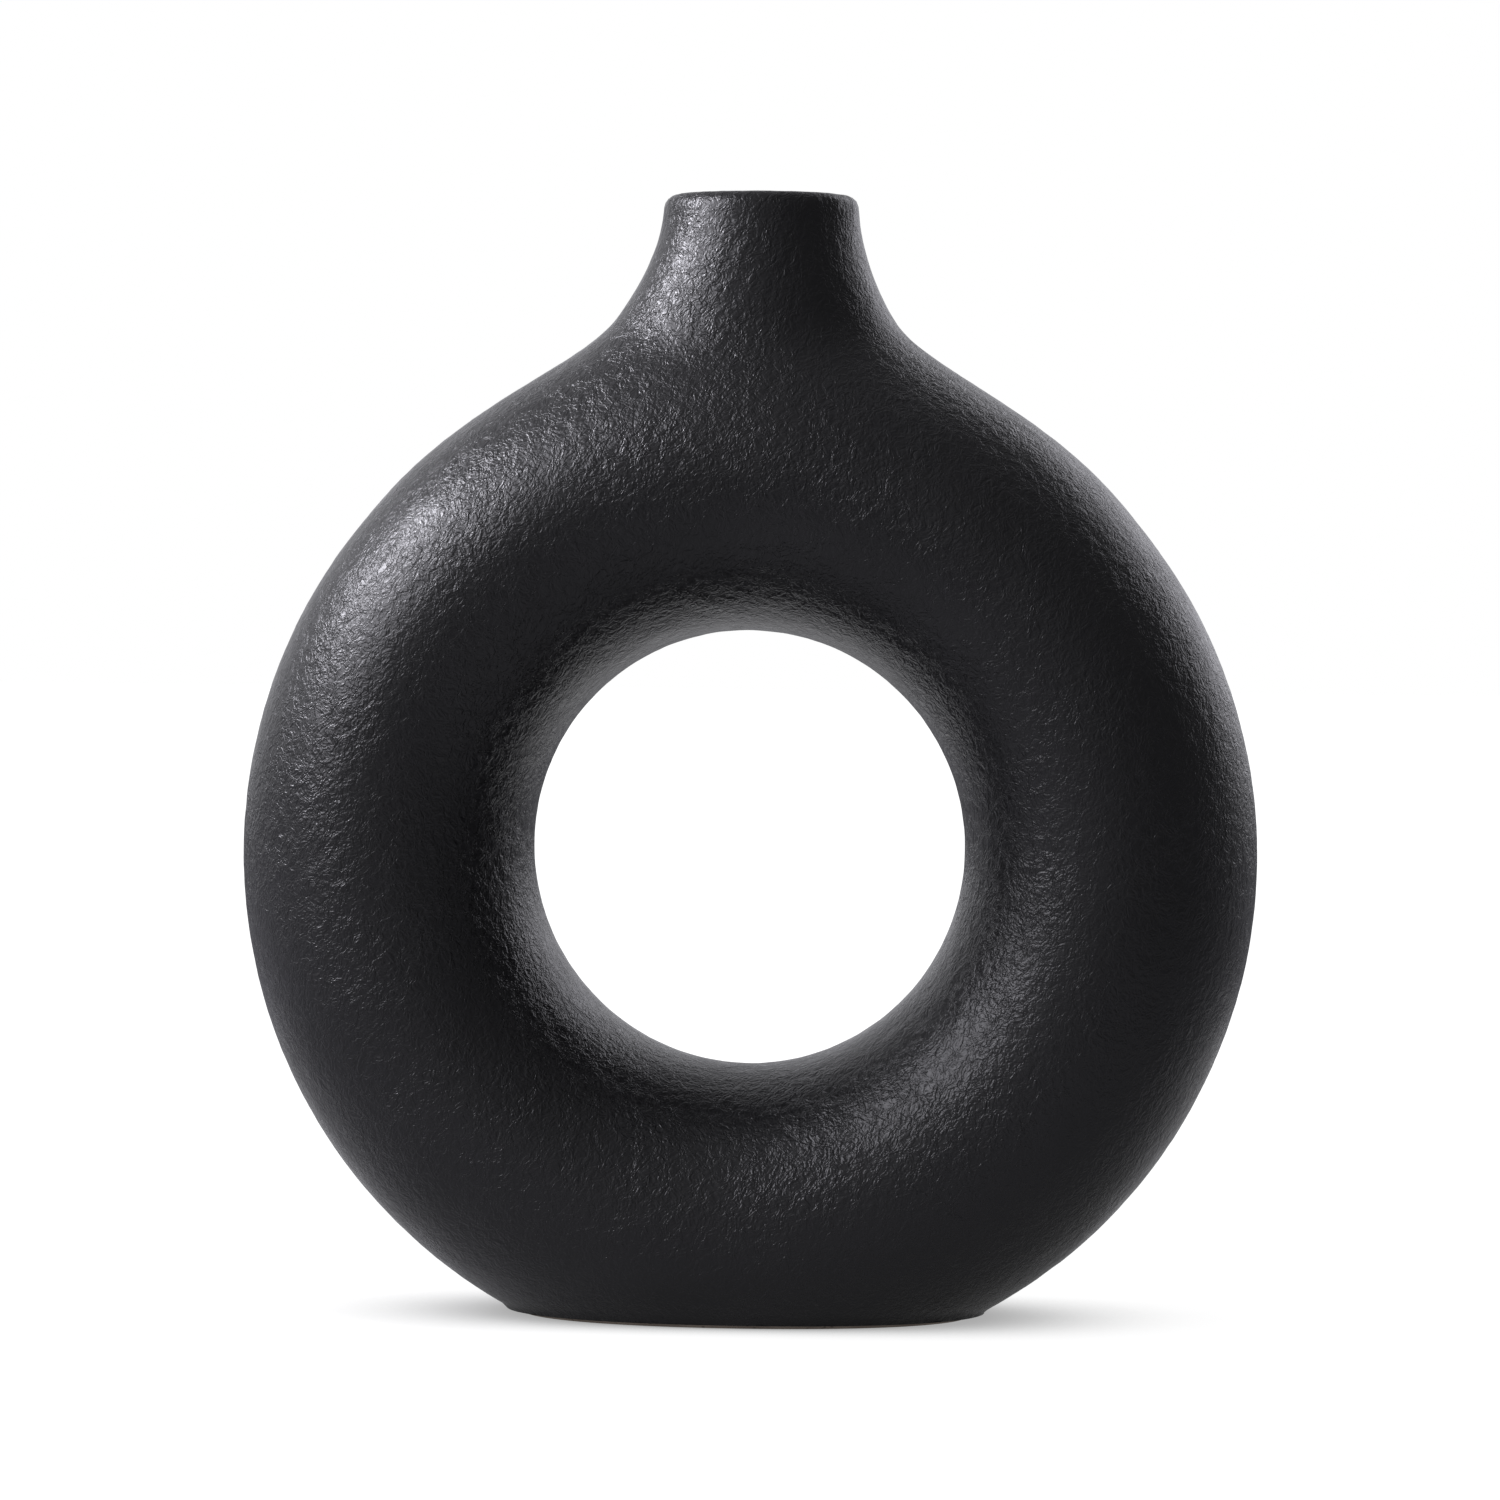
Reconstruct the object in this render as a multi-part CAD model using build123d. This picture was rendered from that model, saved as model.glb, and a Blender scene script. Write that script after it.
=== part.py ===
from build123d import *
import os
from math import atan2, cos, hypot, pi, radians, sin, sinh, sqrt

# Ring-shaped vase with a short neck, in millimetres.
# X runs across the ring, Y through its hole with the front at -Y, and Z up from the foot.

# Ring: a tube of oval section that goes round the hole, a little taller than it is wide.
ring_radius = 95.4
ring_rise = 1.3
ring_depth = 68.0
hole_radius = 40.6
hole_lift = 1.5
foot_cut = 10.4

# Neck: it leaves the crown of the ring in wide shoulders, narrows to the lip and leans a little.
neck_height = 27.0
neck_lean = 1.6
neck_side_slope = 0.02
neck_front_slope = 0.22
lip_radius = 18.1
lip_outer_round = 2.0
lip_inner_round = 1.8
shoulder_flare = 21.0
shoulder_blend = 26.0
neck_root_drop = 11.6
neck_root_fade = 30.0

# Clay: two moulded halves that meet at Y = 0, and the foot slab under them.
wall = 4.6
slab_thickness = 6.0
foot_rim_width = 7.0
foot_recess = 1.5
foot_recess_round = 1.0

# Glaze: the dark skin outside and over the lip, and the watertight lining inside.
glaze = 0.5
bare_foot_height = 0.7
lip_glaze_depth = 14.0

# How finely the curved surface is drawn, in strips that meet at these angles from straight up and down.
crown_reach = radians(60)
base_reach = radians(60)
crown_gaps = 64
side_gaps = 8
base_gaps = 16
crown_crowding = 2.0
curve_gaps = 24
halvings = 48
overrun = 24.0

ring_centre_height = ring_radius + ring_rise - foot_cut
hole_centre_height = ring_centre_height + hole_lift
ring_crown = ring_centre_height + ring_radius + ring_rise
vase_height = ring_crown + neck_height
neck_root = ring_crown - neck_root_drop
neck_length = vase_height - neck_root


def neck_middle(height):
    """How far the middle of the neck stands to the side at a height."""
    climb = (height - neck_root) / neck_length
    climb = min(max(climb, 0), 1)
    return neck_lean * climb * climb * (3 - 2 * climb)


def tube_fullness(x, z, inset):
    """Square of the ring's half depth at a place in the front view."""
    rise = sin(atan2(z - hole_centre_height, x))
    outer = ring_radius + ring_rise * rise * rise - hole_lift * rise - inset
    inner = hole_radius + inset
    half_depth = ring_depth / 2 - inset
    off = (2 * hypot(x, z - hole_centre_height) - outer - inner) / (outer - inner)
    return half_depth * half_depth * (1 - off * off)


def neck_fullness(x, z, inset):
    """Square of the neck's half depth at a place in the front view, closed off above the lip."""
    below = max(vase_height - z, 0)
    side = lip_radius + neck_side_slope * below + shoulder_flare * (below / neck_length) ** 2 - inset
    front = lip_radius + neck_front_slope * below - inset
    sunk = max(neck_root - z, 0) / neck_root_fade
    over = max(z - vase_height, 0) / overrun
    aside = (x - neck_middle(z)) / side
    return front * front * (1 - sunk * sunk - over * over - aside * aside)


def fullness(x, z, inset):
    """Square of the vase's half depth, with the neck melted into the ring. It is below zero outside."""
    tube = tube_fullness(x, z, inset)
    neck = neck_fullness(x, z, inset)
    reach = shoulder_blend * shoulder_blend
    near = max(1 - abs(tube - neck) / reach, 0)
    return max(tube, neck) + near * near * reach / 4


def reach_of(angle, inset):
    """Distance from the hole's centre to the outline in one direction, found by halving."""
    inside = (hole_radius + ring_radius) / 2
    outside = vase_height + 2 * overrun - hole_centre_height
    for _ in range(halvings):
        probe = (inside + outside) / 2
        if fullness(probe * cos(angle), hole_centre_height + probe * sin(angle), inset) > 0:
            inside = probe
        else:
            outside = probe
    return inside


def front_curve(angle, inset):
    """Front half of the wall's outline, in the plane that leaves the hole's axis at an angle."""
    near = hole_radius + inset
    far = reach_of(angle, inset)
    shares = [step / curve_gaps for step in range(curve_gaps + 1)]
    points = []
    for share in shares:
        out = (far + near) / 2 + (far - near) / 2 * cos(pi * share)
        x, z = out * cos(angle), hole_centre_height + out * sin(angle)
        points.append(Vector(x, -sqrt(max(fullness(x, z, inset), 0)), z))
    points[0].Y = 0
    points[-1].Y = 0
    start = (8 * points[1].Y - points[2].Y) / 6 * curve_gaps
    end = (8 * points[-2].Y - points[-3].Y) / 6 * curve_gaps
    ends = [Vector(0, start, 0), Vector(0, -end, 0)]
    return Wire([Edge.make_spline(points, tangents=ends, parameters=shares, scale=False)])


def even_turns(start, end, gaps):
    """Angles at even steps from a start to an end."""
    return [start + (end - start) * step / gaps for step in range(gaps + 1)]


def crown_turns():
    """Angles over the crown, crowded about straight up, where the neck's sides are steep."""
    crowded = [sinh(crown_crowding * place) / sinh(crown_crowding) for place in even_turns(-1, 1, crown_gaps)]
    return [pi / 2 + crown_reach * place for place in crowded]


def front_strips(inset):
    """Front surface of the vase, moved inwards by the inset, in four strips once round the hole."""
    rounds = [
        even_turns(base_reach - pi / 2, pi / 2 - crown_reach, side_gaps),
        crown_turns(),
        even_turns(pi / 2 + crown_reach, 3 * pi / 2 - base_reach, side_gaps),
        even_turns(3 * pi / 2 - base_reach, 3 * pi / 2 + base_reach, base_gaps),
    ]
    return [Shell.make_loft([front_curve(turn, inset) for turn in turns]).faces()[0] for turns in rounds]


def whole_form(inset):
    """The vase as one full body, with its whole surface moved inwards by the inset."""
    strips = front_strips(inset)
    return Solid(Shell(strips + [mirror(strip, Plane.XZ) for strip in strips]))


def layer(low, high):
    """A block wider than the vase between two heights."""
    width = 4 * ring_radius
    return Pos(0, 0, (low + high) / 2) * Box(width, width, high - low)


def lip_edges(body, height):
    """Curved edges that lie in the level plane at a height, the shortest first."""
    level = body.edges().filter_by_position(Axis.Z, height - glaze / 10, height + glaze / 10)
    return level.filter_by(GeomType.LINE, reverse=True).sort_by(SortBy.LENGTH)


def round_lip(body, height, inner_round, outer_round):
    """Round the inner and then the outer edge of the lip."""
    pieces = len(lip_edges(body, height)) // 2
    body = fillet(lip_edges(body, height)[:pieces], inner_round)
    return fillet(lip_edges(body, height)[-pieces:], outer_round)


def skin_between(outer, inner, heights):
    """One closed skin that fills the gap between two nested bodies, both cut flat at each of the heights."""
    sides = outer.faces() + inner.faces()
    rings = []
    for height in heights:
        flats = sides.filter_by(GeomType.PLANE).filter_by_position(Axis.Z, height - glaze / 10, height + glaze / 10)
        small, large = flats.sort_by(SortBy.AREA)
        rings.append(Face(large.outer_wire(), [small.outer_wire()]))
        sides = sides - flats
    return Solid(Shell(sides + rings))


top = vase_height + overrun / 2
clay_top = vase_height - glaze
lining_top = vase_height - lip_glaze_depth
clay_inner_round = lip_inner_round - glaze
clay_outer_round = lip_outer_round - glaze

outside = whole_form(0)
clay_outside = whole_form(glaze)
cavity = whole_form(wall)
water = whole_form(wall + glaze)

# Clay body, parted at Y = 0 into the halves that meet there. They stand on the foot slab.
clay = (clay_outside & layer(slab_thickness, clay_top)) - (cavity & layer(0, top))
clay = round_lip(clay, clay_top, clay_inner_round, clay_outer_round)
front_shell = split(clay, Plane.XZ, keep=Keep.TOP)
back_shell = split(clay, Plane.XZ, keep=Keep.BOTTOM)

# Foot slab: its underside has a shallow oval recess inside the rim that it stands on.
foot_slab = clay_outside & layer(0, slab_thickness)
foot_size = foot_slab.faces().filter_by(GeomType.PLANE).sort_by(Axis.Z)[0].bounding_box().size
recess = extrude(Ellipse(foot_size.X / 2 - foot_rim_width, foot_size.Y / 2 - foot_rim_width), foot_recess)
recess = fillet(recess.edges().sort_by(Axis.Z)[-1], foot_recess_round)
foot_slab = foot_slab - recess

# Outer glaze: from just above the ground, over the lip and a little way down inside it.
glaze_face = (outside & layer(bare_foot_height, vase_height)) - (water & layer(lining_top, top))
glaze_face = round_lip(glaze_face, vase_height, lip_inner_round, lip_outer_round)
glaze_back = (clay_outside & layer(bare_foot_height, clay_top)) - (cavity & layer(lining_top, top))
glaze_back = round_lip(glaze_back, clay_top, clay_inner_round, clay_outer_round)
outer_glaze = skin_between(glaze_face, glaze_back, [bare_foot_height, lining_top])

# Lining: the same glaze over the whole inside, from the floor to where the outer glaze ends in the neck.
lining_back = cavity & layer(slab_thickness, lining_top)
lining_face = water & layer(slab_thickness + glaze, lining_top)
liner_glaze = skin_between(lining_back, lining_face, [lining_top])

os.makedirs("parts", exist_ok=True)
pieces = {
    "front_shell": front_shell,
    "back_shell": back_shell,
    "foot_slab": foot_slab,
    "outer_glaze": outer_glaze,
    "liner_glaze": liner_glaze,
}
for name, piece in pieces.items():
    export_step(piece, "parts/" + name + ".step")
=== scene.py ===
"""Looks of a ring-shaped vase: crinkled near-black glaze over a stoneware body, on a white floor.

Everything is in metres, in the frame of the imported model: X across the ring, Y through its hole with
the front at -Y, and Z up from the foot.
"""

import logging
import math
from dataclasses import dataclass
from enum import Enum

import bmesh
import bpy
import numpy as np
from mathutils import Matrix, Vector, noise


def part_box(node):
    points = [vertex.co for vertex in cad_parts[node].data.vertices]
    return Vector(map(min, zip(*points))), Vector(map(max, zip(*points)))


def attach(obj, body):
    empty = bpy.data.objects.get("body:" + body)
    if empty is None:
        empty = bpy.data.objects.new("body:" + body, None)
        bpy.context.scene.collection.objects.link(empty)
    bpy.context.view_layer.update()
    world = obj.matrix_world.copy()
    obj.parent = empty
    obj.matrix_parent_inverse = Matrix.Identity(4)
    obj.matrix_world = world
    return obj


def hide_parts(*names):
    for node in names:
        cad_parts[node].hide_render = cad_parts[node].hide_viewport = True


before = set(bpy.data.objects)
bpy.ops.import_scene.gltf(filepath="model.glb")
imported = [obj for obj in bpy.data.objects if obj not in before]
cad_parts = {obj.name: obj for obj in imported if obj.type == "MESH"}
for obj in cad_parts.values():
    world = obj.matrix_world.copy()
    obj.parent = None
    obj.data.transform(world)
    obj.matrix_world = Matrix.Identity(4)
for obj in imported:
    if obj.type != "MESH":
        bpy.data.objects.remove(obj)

MM = 0.001
BODY = "root"
log = logging.getLogger("vase")

Range = tuple[float, float]
Triple = tuple[float, float, float]
Colour = tuple[float, float, float, float]


class Slot(Enum):
    """The names of the record's material slots."""

    BLACK_GLAZE = "black_glaze"


class Grid:
    """Adds shader nodes to a tree, each with its values, and links them."""

    def __init__(self, tree: bpy.types.NodeTree) -> None:
        """Start with an empty tree.

        Args:
            tree: The node tree of a material, a world or a group.
        """
        self.tree = tree
        tree.nodes.clear()

    def add(self, kind: str, *values: object, **named: object) -> bpy.types.Node:
        """Add a node, set its settings and fill or link its inputs.

        Args:
            kind: The node's type, without the "ShaderNode" in front of it.
            *values: Inputs in order, each a value, an output, or a node for its first output.
            **named: The node's own settings, in lower case, and inputs by name, with a capital and with
                spaces as underscores.

        Returns:
            The new node.
        """
        node = self.tree.nodes.new(kind if kind.startswith("Node") else "ShaderNode" + kind)
        for key, value in named.items():
            if key[0].islower():
                setattr(node, key, value)
        for socket, value in zip(node.inputs, values):
            self.put(socket, value)
        for key, value in named.items():
            if key[0].isupper():
                self.put(node.inputs[key.replace("_", " ")], value)
        return node

    def put(self, socket: bpy.types.NodeSocket, value: object) -> None:
        """Fill an input.

        Args:
            socket: The input.
            value: Its value, the output that it is linked to, or the node whose first output that is.
        """
        if isinstance(value, bpy.types.Node):
            value = value.outputs[0]
        if isinstance(value, bpy.types.NodeSocket):
            self.tree.links.new(value, socket)
        else:
            socket.default_value = value

    def math(self, operation: str, *values: object) -> bpy.types.Node:
        """Add one step of arithmetic on its inputs, in order."""
        return self.add("Math", *values, operation=operation)

    def vector(self, operation: str, *values: object, **named: object) -> bpy.types.Node:
        """Add one step of arithmetic on coordinates, in order."""
        return self.add("VectorMath", *values, operation=operation, **named)

    def ramp(self, value: object, given: Range, result: Range = (0.0, 1.0)) -> bpy.types.NodeSocket:
        """Map one range of values smoothly to another, and hold its ends.

        Args:
            value: What is mapped.
            given: The values where the ramp starts and ends.
            result: What it gives there.

        Returns:
            The result's output.
        """
        ends = {"From_Min": given[0], "From_Max": given[1], "To_Min": result[0], "To_Max": result[1]}
        node = self.add("MapRange", interpolation_type="SMOOTHSTEP", Value=value, **ends)
        return node.outputs["Result"]

    def blend(self, share: object, first: object, second: object) -> bpy.types.NodeSocket:
        """Mix two colours.

        Args:
            share: How much of the second colour is in the mix, from 0 to 1.
            first: The first colour.
            second: The second colour.

        Returns:
            The mixed colour's output.
        """
        node = self.add("Mix", share, data_type="RGBA")
        colours = [socket for socket in node.inputs if socket.type == "RGBA"]
        for socket, colour in zip(colours, (first, second)):
            self.put(socket, colour)
        return next(socket for socket in node.outputs if socket.type == "RGBA")

    def cloud(
        self, place: object, rate: object, detail: float = 2.0, rough: float = 0.5
    ) -> bpy.types.NodeSocket:
        """Soft cloudy noise.

        Args:
            place: The coordinates, in metres.
            rate: How many clouds there are to a metre.
            detail: How many finer layers it has.
            rough: How strong the finer layers are.

        Returns:
            The noise's output, from 0 to 1.
        """
        node = self.add("TexNoise", Vector=place, Scale=rate, Detail=detail, Roughness=rough)
        return node.outputs["Fac"]

    def stretch(self, place: object, scale: Triple, turn: Triple = (0.0, 0.0, 0.0)) -> bpy.types.Node:
        """Draw the patterns on some coordinates out by a scale on each axis, then turn them."""
        return self.add("Mapping", vector_type="TEXTURE", Vector=place, Rotation=turn, Scale=scale)


class EffectGroup:
    """A shader node group with named inputs and outputs, built once."""

    def __init__(self, name: str, inputs: dict[str, float], outputs: list[str]) -> None:
        """Make the empty group.

        Args:
            name: The group's name.
            inputs: Its number inputs, with their usual values. It also has one vector input, "Place".
            outputs: Its number outputs.
        """
        self.tree = bpy.data.node_groups.new(name, "ShaderNodeTree")
        face = self.tree.interface
        face.new_socket("Place", in_out="INPUT", socket_type="NodeSocketVector")
        for key, value in inputs.items():
            face.new_socket(key, in_out="INPUT", socket_type="NodeSocketFloat").default_value = value
        for key in outputs:
            face.new_socket(key, in_out="OUTPUT", socket_type="NodeSocketFloat")
        self.grid = Grid(self.tree)
        self.given = self.grid.add("NodeGroupInput").outputs
        self.results = self.grid.add("NodeGroupOutput").inputs

    def use(self, grid: Grid, **inputs: object) -> bpy.types.bpy_prop_collection:
        """Place the group in a material, and give its outputs by name."""
        return grid.add("Group", node_tree=self.tree, **inputs).outputs


class Crinkle(EffectGroup):
    """The glaze's crinkled skin: rounded lumps, parted by narrow, winding valleys."""

    noise_middle: float = 0.5
    turn: Triple = (0.0, math.radians(32), math.radians(12))
    stretch: Triple = (0.9, 1.0, 1.35)
    sway_size: float = 3.0 * MM
    sway_gain: float = 4.0
    fold_detail: float = 1.0
    valley: float = 0.16
    fine_valley: float = 0.20
    fine_rate: float = 1.9
    lump_rate: float = 0.85
    lump_range: Range = (0.30, 0.70)
    fine_share: float = 0.55
    island_share: float = 0.6
    patch_size: float = 14 * MM
    patch_range: Range = (0.35, 0.65)
    patch_strength: Range = (0.65, 1.0)

    def __init__(self) -> None:
        """Build the group: broad islands and lumps, finer grain, and calmer and stronger patches."""
        super().__init__("crinkle", {"Spacing": 1.2 * MM, "Bend": 0.7 * MM}, ["Height", "Crest"])
        grid, place = self.grid, self.given["Place"]
        bent = self.bend(place)
        drawn = grid.stretch(bent, self.stretch, self.turn)
        rate = grid.math("DIVIDE", 1.0, self.given["Spacing"])
        island = self.fold(grid.cloud(drawn, rate, self.fold_detail), self.valley)
        fine = grid.cloud(bent, grid.math("MULTIPLY", rate, self.fine_rate), self.fold_detail)
        grain = self.fold(fine, self.fine_valley)
        lumps = grid.cloud(drawn, grid.math("MULTIPLY", rate, self.lump_rate))
        ridges = grid.math("MULTIPLY", island, self.island_share)
        folds = grid.math("MULTIPLY_ADD", grain, self.fine_share, ridges)
        total = grid.math("ADD", folds, grid.ramp(lumps, self.lump_range))
        patches = grid.cloud(place, 1 / self.patch_size)
        strength = grid.ramp(patches, self.patch_range, self.patch_strength)
        grid.put(self.results["Height"], grid.math("MULTIPLY", total, strength))
        grid.put(self.results["Crest"], island)

    def bend(self, place: bpy.types.NodeSocket) -> bpy.types.Node:
        """Push the coordinates about, so that the valleys wind.

        Args:
            place: The coordinates, in metres.

        Returns:
            The node that gives the bent coordinates.
        """
        grid = self.grid
        sway = grid.add("TexNoise", Vector=place, Scale=1 / self.sway_size, Detail=self.fold_detail)
        centred = grid.vector("SUBTRACT", sway.outputs["Color"], (self.noise_middle,) * 3)
        gain = grid.math("MULTIPLY", self.given["Bend"], self.sway_gain)
        return grid.vector("ADD", place, grid.vector("SCALE", centred, Scale=gain))

    def fold(self, value: bpy.types.NodeSocket, reach: float) -> bpy.types.NodeSocket:
        """Fold noise about its middle, so that its middle line becomes a valley.

        Args:
            value: The noise, from 0 to 1.
            reach: How far from the middle the island's flat top starts.

        Returns:
            The height, from 0 in the valley to 1 on the islands.
        """
        away = self.grid.math("ABSOLUTE", self.grid.math("SUBTRACT", value, self.noise_middle))
        return self.grid.ramp(away, (0.0, reach))


class Mottle(EffectGroup):
    """Uneven firing: slow clouds and small freckles."""

    cloud_detail: float = 3.0
    cloud_rough: float = 0.55
    cloud_range: Range = (0.32, 0.68)
    freckle_range: Range = (0.05, 0.28)

    def __init__(self) -> None:
        """Build the group."""
        super().__init__("mottle", {"Cloud Size": 30 * MM, "Freckle Size": 1.2 * MM}, ["Cloud", "Freckle"])
        grid, place = self.grid, self.given["Place"]
        rate = grid.math("DIVIDE", 1.0, self.given["Cloud Size"])
        cloud = grid.cloud(place, rate, self.cloud_detail, self.cloud_rough)
        rate = grid.math("DIVIDE", 1.0, self.given["Freckle Size"])
        cells = grid.add("TexVoronoi", feature="F1", Vector=place, Scale=rate, Randomness=1.0)
        freckle = grid.ramp(cells.outputs["Distance"], self.freckle_range, (1.0, 0.0))
        grid.put(self.results["Cloud"], grid.ramp(cloud, self.cloud_range))
        grid.put(self.results["Freckle"], freckle)


@dataclass(frozen=True)
class Effects:
    """The node groups that the finishes share."""

    crinkle: Crinkle
    mottle: Mottle


@dataclass(frozen=True)
class Finish:
    """What every finish has: a name, how strongly it bends light, and the depth of its bumps."""

    name: str
    ior: float
    relief: float

    def start(self) -> tuple[bpy.types.Material, Grid, bpy.types.NodeSocket]:
        """Start the material.

        Returns:
            The material, its nodes, and the Object coordinates.
        """
        material = bpy.data.materials.new(self.name)
        material.use_nodes = True
        grid = Grid(material.node_tree)
        return material, grid, grid.add("TexCoord").outputs["Object"]

    def close(self, grid: Grid, colour: object, roughness: object, height: object) -> None:
        """Add the shader and the material's output.

        Args:
            grid: The material's nodes.
            colour: The surface's colour.
            roughness: How matt it is.
            height: How high the surface stands at each place, in shares of the relief.
        """
        bump = grid.add("Bump", Height=height, Distance=self.relief, Strength=1.0)
        shader = grid.add(
            "BsdfPrincipled", Base_Color=colour, Roughness=roughness, Normal=bump, IOR=self.ior
        )
        grid.add("OutputMaterial", Surface=shader)


@dataclass(frozen=True)
class BlackGlaze(Finish):
    """Near-black satin glaze, crinkled all over, and thin and brownish where the mould halves met."""

    name: str = "crinkled_glaze"
    ior: float = 1.52
    relief: float = 0.095 * MM
    colour: Colour = (0.0060, 0.0058, 0.0066, 1.0)
    pale: Colour = (0.0095, 0.0091, 0.0104, 1.0)
    thin: Colour = (0.0400, 0.0260, 0.0190, 1.0)
    ridge_spacing: float = 1.35 * MM
    seam_width: float = 1.6 * MM
    wear_size: float = 6 * MM
    wear_range: Range = (0.45, 0.70)
    most_wear: float = 0.7
    cloud_gloss: float = 0.6
    crest_gloss: float = 0.4
    roughness: Range = (0.36, 0.26)

    def build(self, effects: Effects) -> bpy.types.Material:
        """Make the material.

        Args:
            effects: The shared node groups.

        Returns:
            The material.
        """
        material, grid, place = self.start()
        crinkle = effects.crinkle.use(grid, Place=place, Spacing=self.ridge_spacing)
        mottle = effects.mottle.use(grid, Place=place)
        body = grid.blend(mottle["Cloud"], self.colour, self.pale)
        across = grid.math("ABSOLUTE", grid.add("SeparateXYZ", Vector=place).outputs["Y"])
        seam = grid.ramp(across, (0.0, self.seam_width), (1.0, 0.0))
        wear = grid.ramp(grid.cloud(place, 1 / self.wear_size), self.wear_range, (0.0, self.most_wear))
        colour = grid.blend(grid.math("MULTIPLY", seam, wear), body, self.thin)
        crest = grid.math("MULTIPLY", crinkle["Crest"], self.crest_gloss)
        gloss = grid.math("MULTIPLY_ADD", mottle["Cloud"], self.cloud_gloss, crest)
        self.close(grid, colour, grid.ramp(gloss, (0.0, 1.0), self.roughness), crinkle["Height"])
        return material


@dataclass(frozen=True)
class BareClay(Finish):
    """Unglazed stoneware: taupe, sandy and dusted with darker iron specks."""

    name: str = "bare_clay"
    ior: float = 1.45
    relief: float = 0.05 * MM
    colour: Colour = (0.400, 0.340, 0.290, 1.0)
    dark: Colour = (0.270, 0.220, 0.185, 1.0)
    speck: Colour = (0.070, 0.050, 0.040, 1.0)
    cloud_size: float = 12 * MM
    speck_size: float = 1.6 * MM
    speck_share: float = 0.6
    sand_size: float = 0.35 * MM
    sand_detail: float = 3.0
    sand_rough: float = 0.6
    sand_range: Range = (0.3, 0.7)
    roughness: Range = (0.78, 0.95)

    def build(self, effects: Effects) -> bpy.types.Material:
        """Make the material.

        Args:
            effects: The shared node groups.

        Returns:
            The material.
        """
        material, grid, place = self.start()
        mottle = effects.mottle.use(
            grid, Place=place, Cloud_Size=self.cloud_size, Freckle_Size=self.speck_size
        )
        body = grid.blend(mottle["Cloud"], self.colour, self.dark)
        colour = grid.blend(grid.math("MULTIPLY", mottle["Freckle"], self.speck_share), body, self.speck)
        sand = grid.cloud(place, 1 / self.sand_size, self.sand_detail, self.sand_rough)
        self.close(grid, colour, grid.ramp(sand, self.sand_range, self.roughness), sand)
        return material


@dataclass(frozen=True)
class LiningGlaze(Finish):
    """Glossy dark glaze poured round the inside, with slow runs and a few pinholes."""

    name: str = "poured_glaze"
    ior: float = 1.52
    relief: float = 0.12 * MM
    colour: Colour = (0.0120, 0.0100, 0.0095, 1.0)
    pooled: Colour = (0.0060, 0.0055, 0.0060, 1.0)
    cloud_size: float = 14 * MM
    pinhole_size: float = 3.5 * MM
    pinhole_depth: float = 0.3
    run_size: float = 5 * MM
    run_stretch: Triple = (1.0, 1.0, 4.0)
    run_range: Range = (0.3, 0.7)
    roughness: Range = (0.16, 0.26)

    def build(self, effects: Effects) -> bpy.types.Material:
        """Make the material.

        Args:
            effects: The shared node groups.

        Returns:
            The material.
        """
        material, grid, place = self.start()
        mottle = effects.mottle.use(
            grid, Place=place, Cloud_Size=self.cloud_size, Freckle_Size=self.pinhole_size
        )
        colour = grid.blend(mottle["Cloud"], self.colour, self.pooled)
        flow = grid.cloud(grid.stretch(place, self.run_stretch), 1 / self.run_size)
        height = grid.math("SUBTRACT", flow, grid.math("MULTIPLY", mottle["Freckle"], self.pinhole_depth))
        self.close(grid, colour, grid.ramp(flow, self.run_range, self.roughness), height)
        return material


def merged_copy(node: str, weld: float = 0.002 * MM) -> bmesh.types.BMesh:
    """Copy a CAD node's mesh, with its loose triangles joined along their edges.

    Args:
        node: The node's name.
        weld: How near two points are to be joined.

    Returns:
        The copy.
    """
    copy = bmesh.new()
    copy.from_mesh(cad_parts[node].data)
    bmesh.ops.remove_doubles(copy, verts=copy.verts, dist=weld)
    copy.normal_update()
    return copy


def widest_island(mesh: bmesh.types.BMesh) -> set[bmesh.types.BMFace]:
    """Find the connected group of faces that is widest along X.

    Args:
        mesh: The mesh.

    Returns:
        The group's faces.
    """
    groups = []
    left = set(mesh.faces)
    while left:
        found = {left.pop()}
        front = list(found)
        while front:
            face = front.pop()
            near = {other for edge in face.edges for other in edge.link_faces} & left
            left -= near
            found |= near
            front.extend(near)
        groups.append(found)

    def width(group: set[bmesh.types.BMFace]) -> float:
        """How wide a group is along X."""
        across = [vert.co.x for face in group for vert in face.verts]
        return max(across) - min(across)

    return max(groups, key=width)


def is_level(part: bmesh.types.BMEdge | bmesh.types.BMFace, height: float, slack: float) -> bool:
    """Whether an edge or a face lies level at a height, to within some slack."""
    return all(abs(vert.co.z - height) < slack for vert in part.verts)


def even_out(mesh: bpy.types.Mesh, rounds: int, pulls: Range = (0.50, -0.52)) -> None:
    """Smooth a mesh without shrinking it, by turns of pulling in and pushing out.

    Args:
        mesh: The mesh, whose points move.
        rounds: How many turns it takes.
        pulls: How far each point goes towards the middle of its neighbours, in and then out again.
    """
    count = len(mesh.vertices)
    places = np.empty(count * 3)
    mesh.vertices.foreach_get("co", places)
    places = places.reshape(count, 3)
    edges = np.empty(len(mesh.edges) * 2, dtype=np.int64)
    mesh.edges.foreach_get("vertices", edges)
    first, second = edges.reshape(-1, 2).T
    linked = np.bincount(first, minlength=count) + np.bincount(second, minlength=count)
    for pull in pulls * rounds:
        middle = np.empty_like(places)
        for axis in range(3):
            total = np.bincount(first, weights=places[second, axis], minlength=count)
            total += np.bincount(second, weights=places[first, axis], minlength=count)
            middle[:, axis] = total / linked
        places += pull * (middle - places)
    mesh.vertices.foreach_set("co", places.ravel())
    mesh.update()


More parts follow.
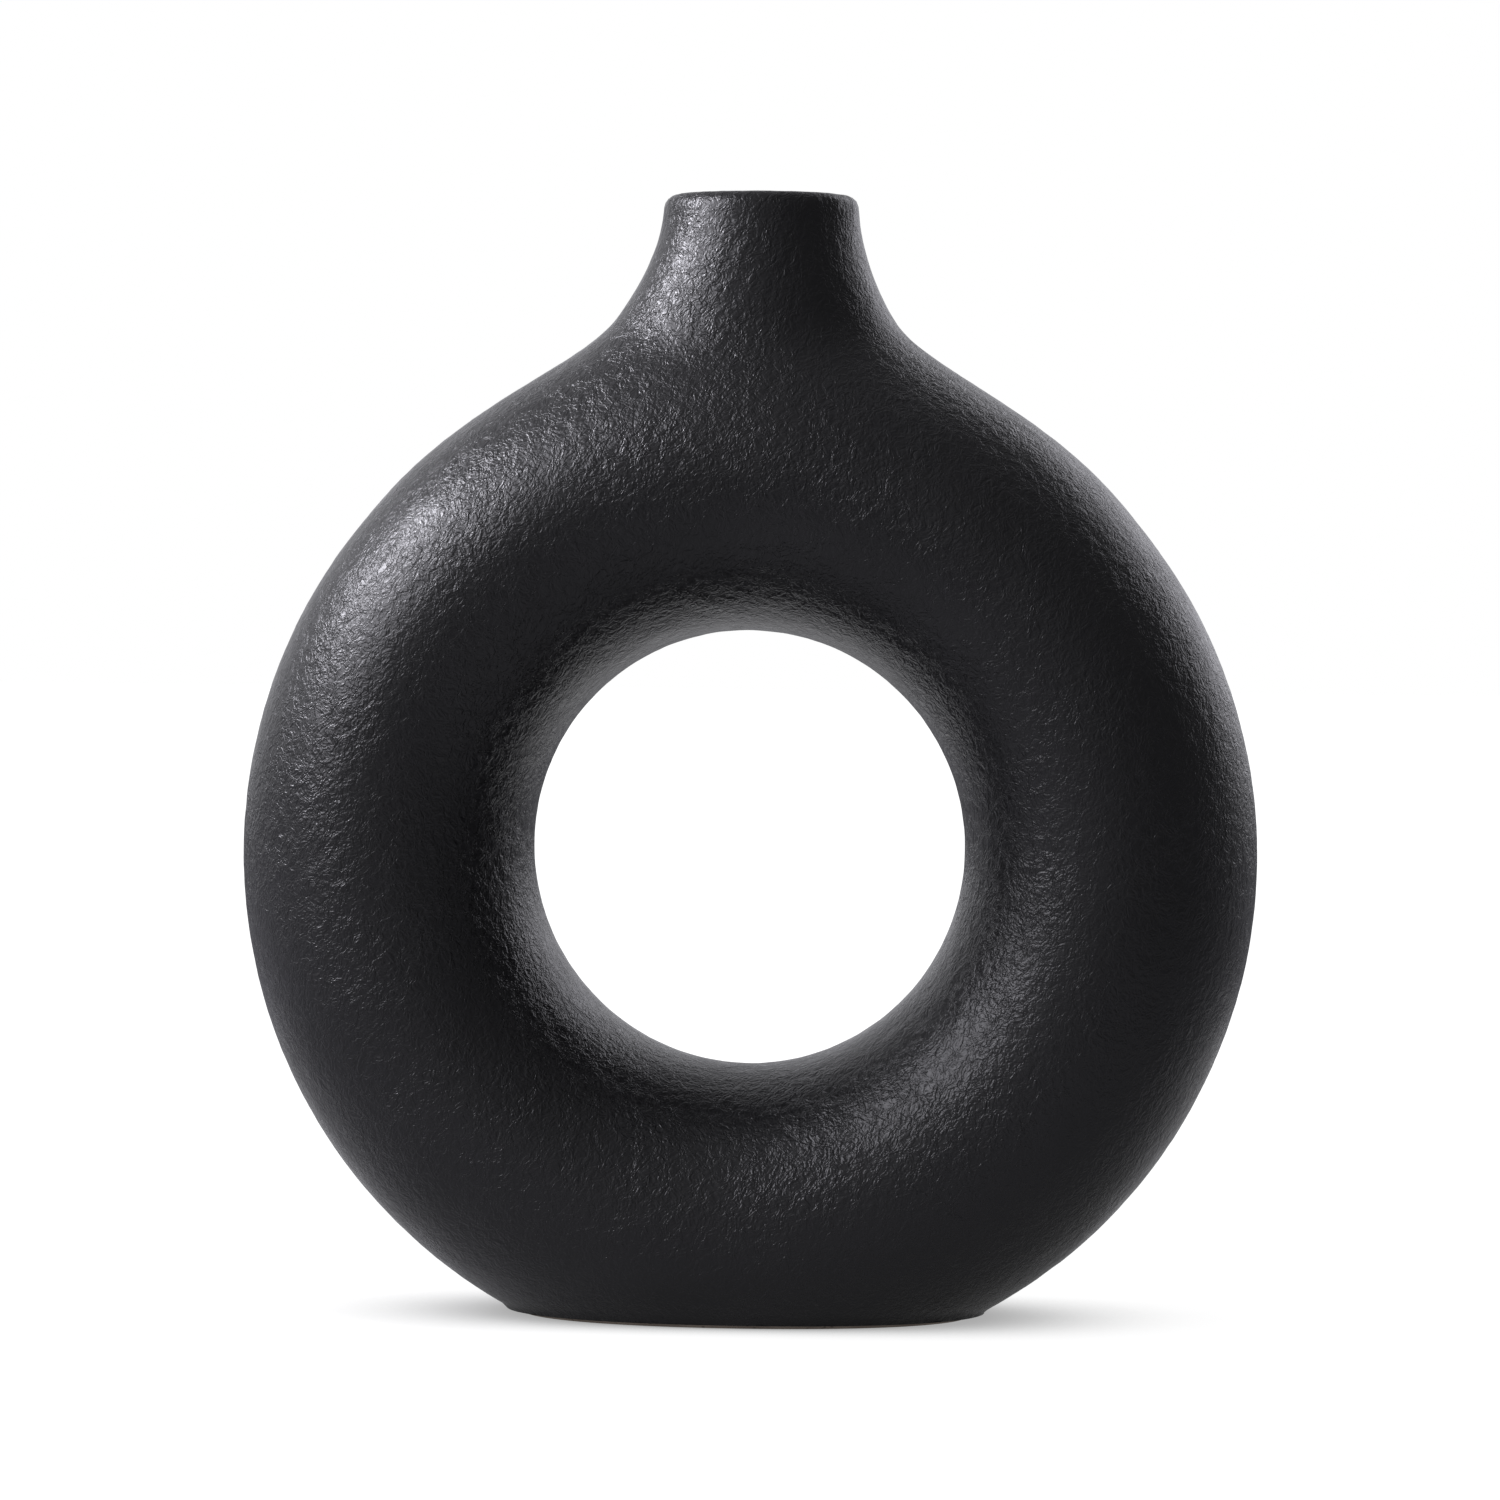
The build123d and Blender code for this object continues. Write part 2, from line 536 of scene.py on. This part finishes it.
@dataclass(frozen=True)
class Bore:
    """The wall inside the neck, a little above and below the line where the outer glaze ends."""

    middle: Vector
    reach: float
    depth: float

    def holds(self, face: bmesh.types.BMFace) -> bool:
        """Whether a face is part of the wall or of its closed end."""
        away = face.calc_center_median() - self.middle
        return abs(away.z) <= self.depth and math.hypot(away.x, away.y) < self.reach


@dataclass
class GlazeSkin:
    """The outer glaze, from just above the ground, over the lip and a little way down inside it."""

    node: str = "outer_glaze"
    piece: str = "glaze_skin"
    mesh_step: float = 1.28 * MM
    smoothing: int = 8
    skirt: float = 3.0 * MM
    bore_margin: float = 1.5 * MM
    flat_slack: float = 0.01 * MM
    bore_slack: float = 0.02 * MM
    rim_slack: float = 0.05 * MM
    swell_size: float = 17.0 * MM
    swell_depth: float = 0.16 * MM
    pucker_size: float = 4.2 * MM
    pucker_depth: float = 0.10 * MM
    pucker_shift: Triple = (7.0, 3.0, 5.0)
    fine_shift: Triple = (1.0, 9.0, 4.0)
    fine_share: float = 0.5
    sharp_angle: float = math.radians(50)

    def __post_init__(self) -> None:
        """Read the heights of the skin's two free edges and its top from the frame."""
        self.foot_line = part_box(self.node)[0].z
        self.lining_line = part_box("liner_glaze")[1].z
        self.top_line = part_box(self.node)[1].z

    def split_skin(self) -> tuple[bmesh.types.BMesh, bmesh.types.BMesh]:
        """Part the closed CAD skin at its two flat rims.

        Returns:
            The face side and the back side, both open at the foot and inside the neck.
        """
        back_side = merged_copy(self.node)
        for line in (self.foot_line, self.lining_line):
            rim = [face for face in back_side.faces if is_level(face, line, self.flat_slack)]
            bmesh.ops.delete(back_side, geom=rim, context="FACES")
        back_side.faces.index_update()
        widest = widest_island(back_side)
        wanted = {face.index for face in widest}
        face_side = back_side.copy()
        face_side.faces.index_update()
        extra = [face for face in face_side.faces if face.index not in wanted]
        bmesh.ops.delete(face_side, geom=extra, context="FACES")
        bmesh.ops.delete(back_side, geom=list(widest), context="FACES")
        return face_side, back_side

    def find_bore(self, face_side: bmesh.types.BMesh) -> Bore:
        """Find the wall inside the neck by the rim where the face side ends there.

        Args:
            face_side: The open face side.

        Returns:
            The wall's place and size, with some margin.
        """
        edge = [vert.co for vert in face_side.verts if vert.is_boundary]
        rim = [place for place in edge if abs(place.z - self.lining_line) < self.bore_slack]
        middle = sum(rim, Vector()) / len(rim)
        reach = max((place - middle).length for place in rim) + self.bore_margin
        middle.z = self.lining_line
        return Bore(middle, reach, 2 * self.skirt)

    def remeshed(self, face_side: bmesh.types.BMesh) -> bmesh.types.BMesh:
        """Give the face side an even mesh, with a skirt below each free edge so that it stays true there.

        Args:
            face_side: The open face side, which is used up.

        Returns:
            The even mesh, closed below the skirts.
        """
        rims = [edge for edge in face_side.edges if edge.is_boundary]
        grown = bmesh.ops.extrude_edge_only(face_side, edges=rims)["geom"]
        lowered = [part for part in grown if isinstance(part, bmesh.types.BMVert)]
        bmesh.ops.translate(face_side, verts=lowered, vec=(0, 0, -self.skirt))
        ends = [edge for edge in face_side.edges if edge.is_boundary]
        bmesh.ops.holes_fill(face_side, edges=ends, sides=0)
        bmesh.ops.recalc_face_normals(face_side, faces=face_side.faces)
        mesh = bpy.data.meshes.new(self.piece + "_rough")
        face_side.to_mesh(mesh)
        face_side.free()
        holder = bpy.data.objects.new(self.piece + "_rough", mesh)
        bpy.context.scene.collection.objects.link(holder)
        remesh = holder.modifiers.new("even", "REMESH")
        remesh.mode = "VOXEL"
        remesh.voxel_size = self.mesh_step
        graph = bpy.context.evaluated_depsgraph_get()
        even = bpy.data.meshes.new_from_object(holder.evaluated_get(graph))
        bpy.data.objects.remove(holder)
        bpy.data.meshes.remove(mesh)
        even_out(even, self.smoothing)
        skin = bmesh.new()
        skin.from_mesh(even)
        bpy.data.meshes.remove(even)
        return skin

    def trim(self, skin: bmesh.types.BMesh, bore: Bore) -> None:
        """Cut the skirts off level, at the foot and inside the neck.

        Args:
            skin: The even mesh.
            bore: The wall inside the neck.
        """
        self.cut(skin, skin.faces[:], self.foot_line)
        self.cut(skin, [face for face in skin.faces if bore.holds(face)], self.lining_line)

    def cut(self, skin: bmesh.types.BMesh, faces: list[bmesh.types.BMFace], height: float) -> None:
        """Take away what some faces have below a height.

        Args:
            skin: The mesh.
            faces: The faces that are cut.
            height: The height.
        """
        touched = {part for face in faces for part in (*face.verts, *face.edges)}
        rest = [part for part in (*skin.verts, *skin.edges) if part in touched]
        bmesh.ops.bisect_plane(
            skin, geom=rest + faces, plane_co=(0, 0, height), plane_no=(0, 0, -1), clear_outer=True
        )

    def pucker(self, skin: bmesh.types.BMesh) -> None:
        """Press the skin in a little at every point, for the hand-made swells and the larger puckers.

        Args:
            skin: The trimmed mesh.
        """
        skin.normal_update()
        for vert in skin.verts:
            if vert.is_boundary:
                continue
            place = vert.co
            swell = 0.5 + 0.5 * noise.noise(place / self.swell_size)
            broad = abs(noise.noise(place / self.pucker_size + Vector(self.pucker_shift)))
            fine = abs(noise.noise(place / (self.pucker_size / 2) + Vector(self.fine_shift)))
            depth = self.swell_depth * swell + self.pucker_depth * (broad + self.fine_share * fine)
            vert.co = place - vert.normal * depth
            vert.co.z = min(vert.co.z, self.top_line)

    def close(self, skin: bmesh.types.BMesh, back_side: bmesh.types.BMesh) -> None:
        """Add the back side and close the skin along both rims.

        Args:
            skin: The finished face side.
            back_side: The open back side, which is used up.
        """
        mesh = bpy.data.meshes.new(self.piece + "_back")
        back_side.to_mesh(mesh)
        back_side.free()
        skin.from_mesh(mesh)
        bpy.data.meshes.remove(mesh)
        for line in (self.foot_line, self.lining_line):
            rim = [edge for edge in skin.edges if edge.is_boundary and is_level(edge, line, self.rim_slack)]
            bmesh.ops.triangle_fill(skin, use_beauty=True, edges=rim, normal=(0, 0, -1))

    def build(self, material: bpy.types.Material) -> None:
        """Make the piece, let it stand for the CAD skin, and report it.

        Args:
            material: The glaze.
        """
        face_side, back_side = self.split_skin()
        bore = self.find_bore(face_side)
        skin = self.remeshed(face_side)
        self.trim(skin, bore)
        self.pucker(skin)
        self.close(skin, back_side)
        for face in skin.faces:
            face.smooth = True
        open_edges = sum(not edge.is_manifold for edge in skin.edges)
        mesh = bpy.data.meshes.new(self.piece)
        skin.to_mesh(mesh)
        skin.free()
        mesh.set_sharp_from_angle(angle=self.sharp_angle)
        mesh.materials.append(material)
        piece = bpy.data.objects.new(self.piece, mesh)
        bpy.context.scene.collection.objects.link(piece)
        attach(piece, BODY)
        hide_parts(self.node)
        mesh.calc_loop_triangles()
        log.info("%s: %d triangles, %d open edges", self.piece, len(mesh.loop_triangles), open_edges)


@dataclass
class ClayBody:
    """The moulded shells, the foot slab and the lining inside, which stay as the CAD has them."""

    shells: tuple[str, ...] = ("front_shell", "back_shell", "foot_slab")
    lining: str = "liner_glaze"

    def dress(self, clay: bpy.types.Material, glaze: bpy.types.Material) -> None:
        """Give each node its finish.

        Args:
            clay: The bare clay.
            glaze: The glaze inside.
        """
        for name in self.shells:
            self.finish(name, clay)
        self.finish(self.lining, glaze)

    def finish(self, name: str, material: bpy.types.Material) -> None:
        """Put a material on a CAD node and report it.

        Args:
            name: The node's name.
            material: The material.
        """
        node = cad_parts[name]
        node.data.materials.clear()
        node.data.materials.append(material)
        log.info("%s: %d triangles, %s", name, len(node.data.polygons), material.name)


@dataclass(frozen=True)
class Glow:
    """A round patch of light on the floor, which the vase sees and the camera doesn't."""

    middle: Triple
    fade: Range
    strength: float

    def build(self, grid: Grid, place: bpy.types.NodeSocket) -> bpy.types.NodeSocket:
        """Work out the patch's light.

        Args:
            grid: The floor's nodes.
            place: The coordinates.

        Returns:
            The light's output.
        """
        away = grid.vector("DISTANCE", place, self.middle).outputs["Value"]
        return grid.ramp(away, self.fade, (self.strength, 0.0))


@dataclass(frozen=True)
class Floor:
    """A large floor: the camera sees it white with a soft contact shade, the vase dim with two glows."""

    reach: float = 6.0
    seen_colour: Colour = (0.09, 0.09, 0.09, 1.0)
    lit_colour: Colour = (0.28, 0.28, 0.29, 1.0)
    shade_samples: int = 16
    shade_reach: float = 0.05
    shade_range: Range = (0.10, 0.72)
    shade_light: Range = (0.40, 0.98)
    far_range: Range = (0.15, 0.50)
    far_light: float = 0.15
    back_glow: Glow = Glow((0.0, 0.24, 0.0), (0.08, 0.32), 0.55)
    front_glow: Glow = Glow((0.0, -0.18, 0.0), (0.08, 0.50), 0.08)

    def seen(self, grid: Grid, place: bpy.types.NodeSocket) -> bpy.types.Node:
        """Make the floor that the camera sees.

        Args:
            grid: The floor's nodes.
            place: The coordinates.

        Returns:
            The shader.
        """
        shade = grid.add("AmbientOcclusion", samples=self.shade_samples, Distance=self.shade_reach)
        near = grid.ramp(shade.outputs["AO"], self.shade_range, self.shade_light)
        away = grid.vector("LENGTH", place).outputs["Value"]
        far = grid.ramp(away, self.far_range, (0.0, self.far_light))
        white = grid.add("Emission", Strength=grid.math("ADD", near, far))
        return grid.add("AddShader", grid.add("BsdfDiffuse", Color=self.seen_colour), white)

    def lit(self, grid: Grid, place: bpy.types.NodeSocket) -> bpy.types.Node:
        """Make the floor that lights the vase and shows in its gloss.

        Args:
            grid: The floor's nodes.
            place: The coordinates.

        Returns:
            The shader.
        """
        glows = grid.math("ADD", self.back_glow.build(grid, place), self.front_glow.build(grid, place))
        light = grid.add("Emission", Strength=glows)
        return grid.add("AddShader", grid.add("BsdfDiffuse", Color=self.lit_colour), light)

    def build(self) -> None:
        """Lay the floor."""
        made = bmesh.new()
        bmesh.ops.create_grid(made, x_segments=1, y_segments=1, size=self.reach)
        mesh = bpy.data.meshes.new("floor")
        made.to_mesh(mesh)
        made.free()
        floor = bpy.data.objects.new("floor", mesh)
        bpy.context.scene.collection.objects.link(floor)
        material = bpy.data.materials.new("white_floor")
        material.use_nodes = True
        grid = Grid(material.node_tree)
        place = grid.add("TexCoord").outputs["Object"]
        from_camera = grid.add("LightPath").outputs["Is Camera Ray"]
        surface = grid.add("MixShader", from_camera, self.lit(grid, place), self.seen(grid, place))
        grid.add("OutputMaterial", Surface=surface)
        mesh.materials.append(material)


@dataclass(frozen=True)
class Room:
    """The world: white for the camera, and for the vase a dim room, lighter on the left and behind."""

    tint: Colour = (0.95, 0.95, 1.0, 1.0)
    white: Colour = (1.0, 1.0, 1.0, 1.0)
    side_range: Range = (-1.0, 0.9)
    side_light: Range = (0.58, 0.14)
    back_range: Range = (0.50, 1.0)
    back_light: float = 0.50

    def build(self) -> None:
        """Make the world."""
        world = bpy.data.worlds.new("studio")
        world.use_nodes = True
        bpy.context.scene.world = world
        grid = Grid(world.node_tree)
        way = grid.add("SeparateXYZ", Vector=grid.add("TexCoord").outputs["Generated"])
        sides = grid.ramp(way.outputs["X"], self.side_range, self.side_light)
        behind = grid.ramp(way.outputs["Y"], self.back_range, (0.0, self.back_light))
        room = grid.add("Background", Color=self.tint, Strength=grid.math("ADD", sides, behind))
        backdrop = grid.add("Background", Color=self.white, Strength=1.0)
        from_camera = grid.add("LightPath").outputs["Is Camera Ray"]
        grid.add("OutputWorld", Surface=grid.add("MixShader", from_camera, room, backdrop))


@dataclass(frozen=True)
class Lamp:
    """A soft rectangular lamp."""

    name: str
    place: Triple
    width: float
    height: float
    power: float

    def build(self, aim: Triple, tint: Triple) -> None:
        """Make the lamp.

        Args:
            aim: The point that it looks at.
            tint: The colour of its light.
        """
        light = bpy.data.lights.new(self.name, "AREA")
        light.shape = "RECTANGLE"
        light.size = self.width
        light.size_y = self.height
        light.energy = self.power
        light.color = tint
        lamp = bpy.data.objects.new(self.name, light)
        bpy.context.scene.collection.objects.link(lamp)
        place = Vector(self.place)
        turn = (Vector(aim) - place).to_track_quat("-Z", "Y").to_matrix().to_4x4()
        lamp.matrix_world = Matrix.Translation(place) @ turn


@dataclass(frozen=True)
class Viewpoint:
    """The camera, at the photograph's viewing angle."""

    turn: float = math.radians(4.752)
    rise: float = math.radians(1.649)
    roll: float = math.radians(0.446)
    distance: float = 1.22
    height: float = 0.10601
    aside: float = 0.000134
    lens: float = 155.9
    sensor: float = 36.0

    def build(self) -> None:
        """Stand the camera in its place."""
        data = bpy.data.cameras.new("camera")
        data.sensor_width = self.sensor
        data.lens = self.lens
        camera = bpy.data.objects.new("camera", data)
        bpy.context.scene.collection.objects.link(camera)
        up = Vector((0.0, 0.0, 1.0))
        right = Vector((math.cos(self.turn), math.sin(self.turn), 0.0))
        level = Vector((math.sin(self.turn), -math.cos(self.turn), 0.0))
        away = level * math.cos(self.rise) + up * math.sin(self.rise)
        place = right * self.aside + up * self.height + away * self.distance
        turn = (-away).to_track_quat("-Z", "Y").to_matrix().to_4x4() @ Matrix.Rotation(self.roll, 4, "Z")
        camera.matrix_world = Matrix.Translation(place) @ turn
        bpy.context.scene.camera = camera


@dataclass(frozen=True)
class Studio:
    """The floor, the room, the lamps and the camera."""

    floor: Floor = Floor()
    room: Room = Room()
    viewpoint: Viewpoint = Viewpoint()
    lamps: tuple[Lamp, ...] = (
        Lamp("key", (-0.88, 0.06, 0.70), 0.24, 0.28, 7.0),
        Lamp("wide", (-0.78, -0.40, 0.66), 0.60, 0.70, 5.6),
        Lamp("rim", (0.53, 0.82, 0.48), 0.60, 0.60, 1.2),
    )
    lamp_aim: Triple = (0.0, 0.0, 0.106)
    lamp_tint: Triple = (0.93, 0.92, 1.0)

    def build(self) -> None:
        """Set up the whole studio."""
        self.floor.build()
        self.room.build()
        for lamp in self.lamps:
            lamp.build(self.lamp_aim, self.lamp_tint)
        self.viewpoint.build()
        bpy.context.scene.view_settings.view_transform = "Standard"


def main() -> None:
    """Build the vase's finishes and pieces, then the studio, and note the sizes."""
    logging.basicConfig(level=logging.INFO, format="%(name)s: %(message)s")
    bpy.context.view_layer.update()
    effects = Effects(Crinkle(), Mottle())
    GlazeSkin().build(BlackGlaze().build(effects))
    ClayBody().dress(BareClay().build(effects), LiningGlaze().build(effects))
    Studio().build()


if __name__ == "__main__":
    main()
